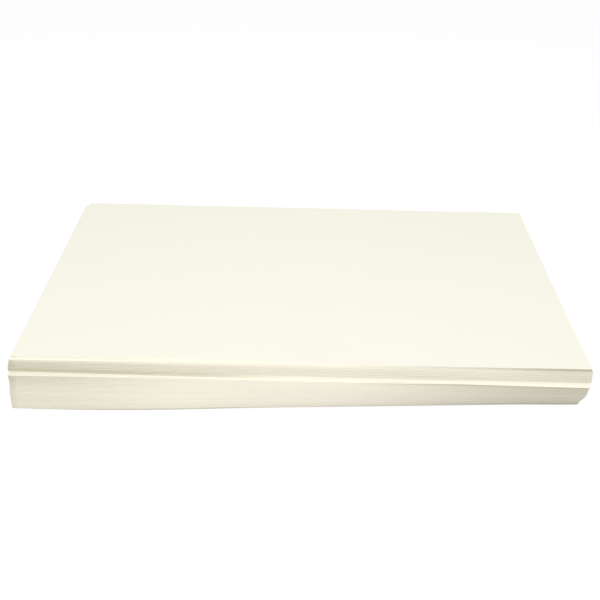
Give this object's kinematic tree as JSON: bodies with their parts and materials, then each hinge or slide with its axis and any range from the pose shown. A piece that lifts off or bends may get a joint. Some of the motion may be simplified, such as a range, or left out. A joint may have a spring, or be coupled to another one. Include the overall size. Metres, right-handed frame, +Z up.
{
  "type": "pack of oil filter paper",
  "caption": "Loose flat pack of plain cream rectangular filter paper sheets, stacked out of square, with a fanned lower block and slipped sheets along the front edge.",
  "frame": {"origin": "middle of the pack's footprint, on the surface it lies on", "axes": "+X along the sheets' long edge, +Y from the front edge to the back, +Z up through the stack"},
  "size_m": [0.6746, 0.4578, 0.0609],
  "materials": {
    "filter_paper": "matt, creped"
  },
  "bodies": {
    "root": {"top_sheet_1": "filter_paper", "top_sheet_2": "filter_paper", "top_sheet_3": "filter_paper", "upper_sheet_01": "filter_paper", "upper_sheet_02": "filter_paper", "upper_sheet_03": "filter_paper", "upper_sheet_04": "filter_paper", "upper_sheet_05": "filter_paper", "upper_sheet_06": "filter_paper", "upper_sheet_07": "filter_paper", "upper_sheet_08": "filter_paper", "upper_sheet_09": "filter_paper", "upper_sheet_10": "filter_paper", "upper_sheet_11": "filter_paper", "upper_sheet_12": "filter_paper", "upper_sheet_13": "filter_paper", "upper_sheet_14": "filter_paper", "upper_sheet_15": "filter_paper", "upper_sheet_16": "filter_paper", "upper_sheet_17": "filter_paper", "slipped_sheet_1": "filter_paper", "slipped_sheet_2": "filter_paper", "slipped_sheet_3": "filter_paper", "slipped_sheet_4": "filter_paper", "slipped_sheet_5": "filter_paper", "slipped_sheet_6": "filter_paper", "slipped_sheet_7": "filter_paper", "slipped_sheet_8": "filter_paper", "slipped_sheet_9": "filter_paper", "lower_sheets": "filter_paper"}
  },
  "joints": []
}
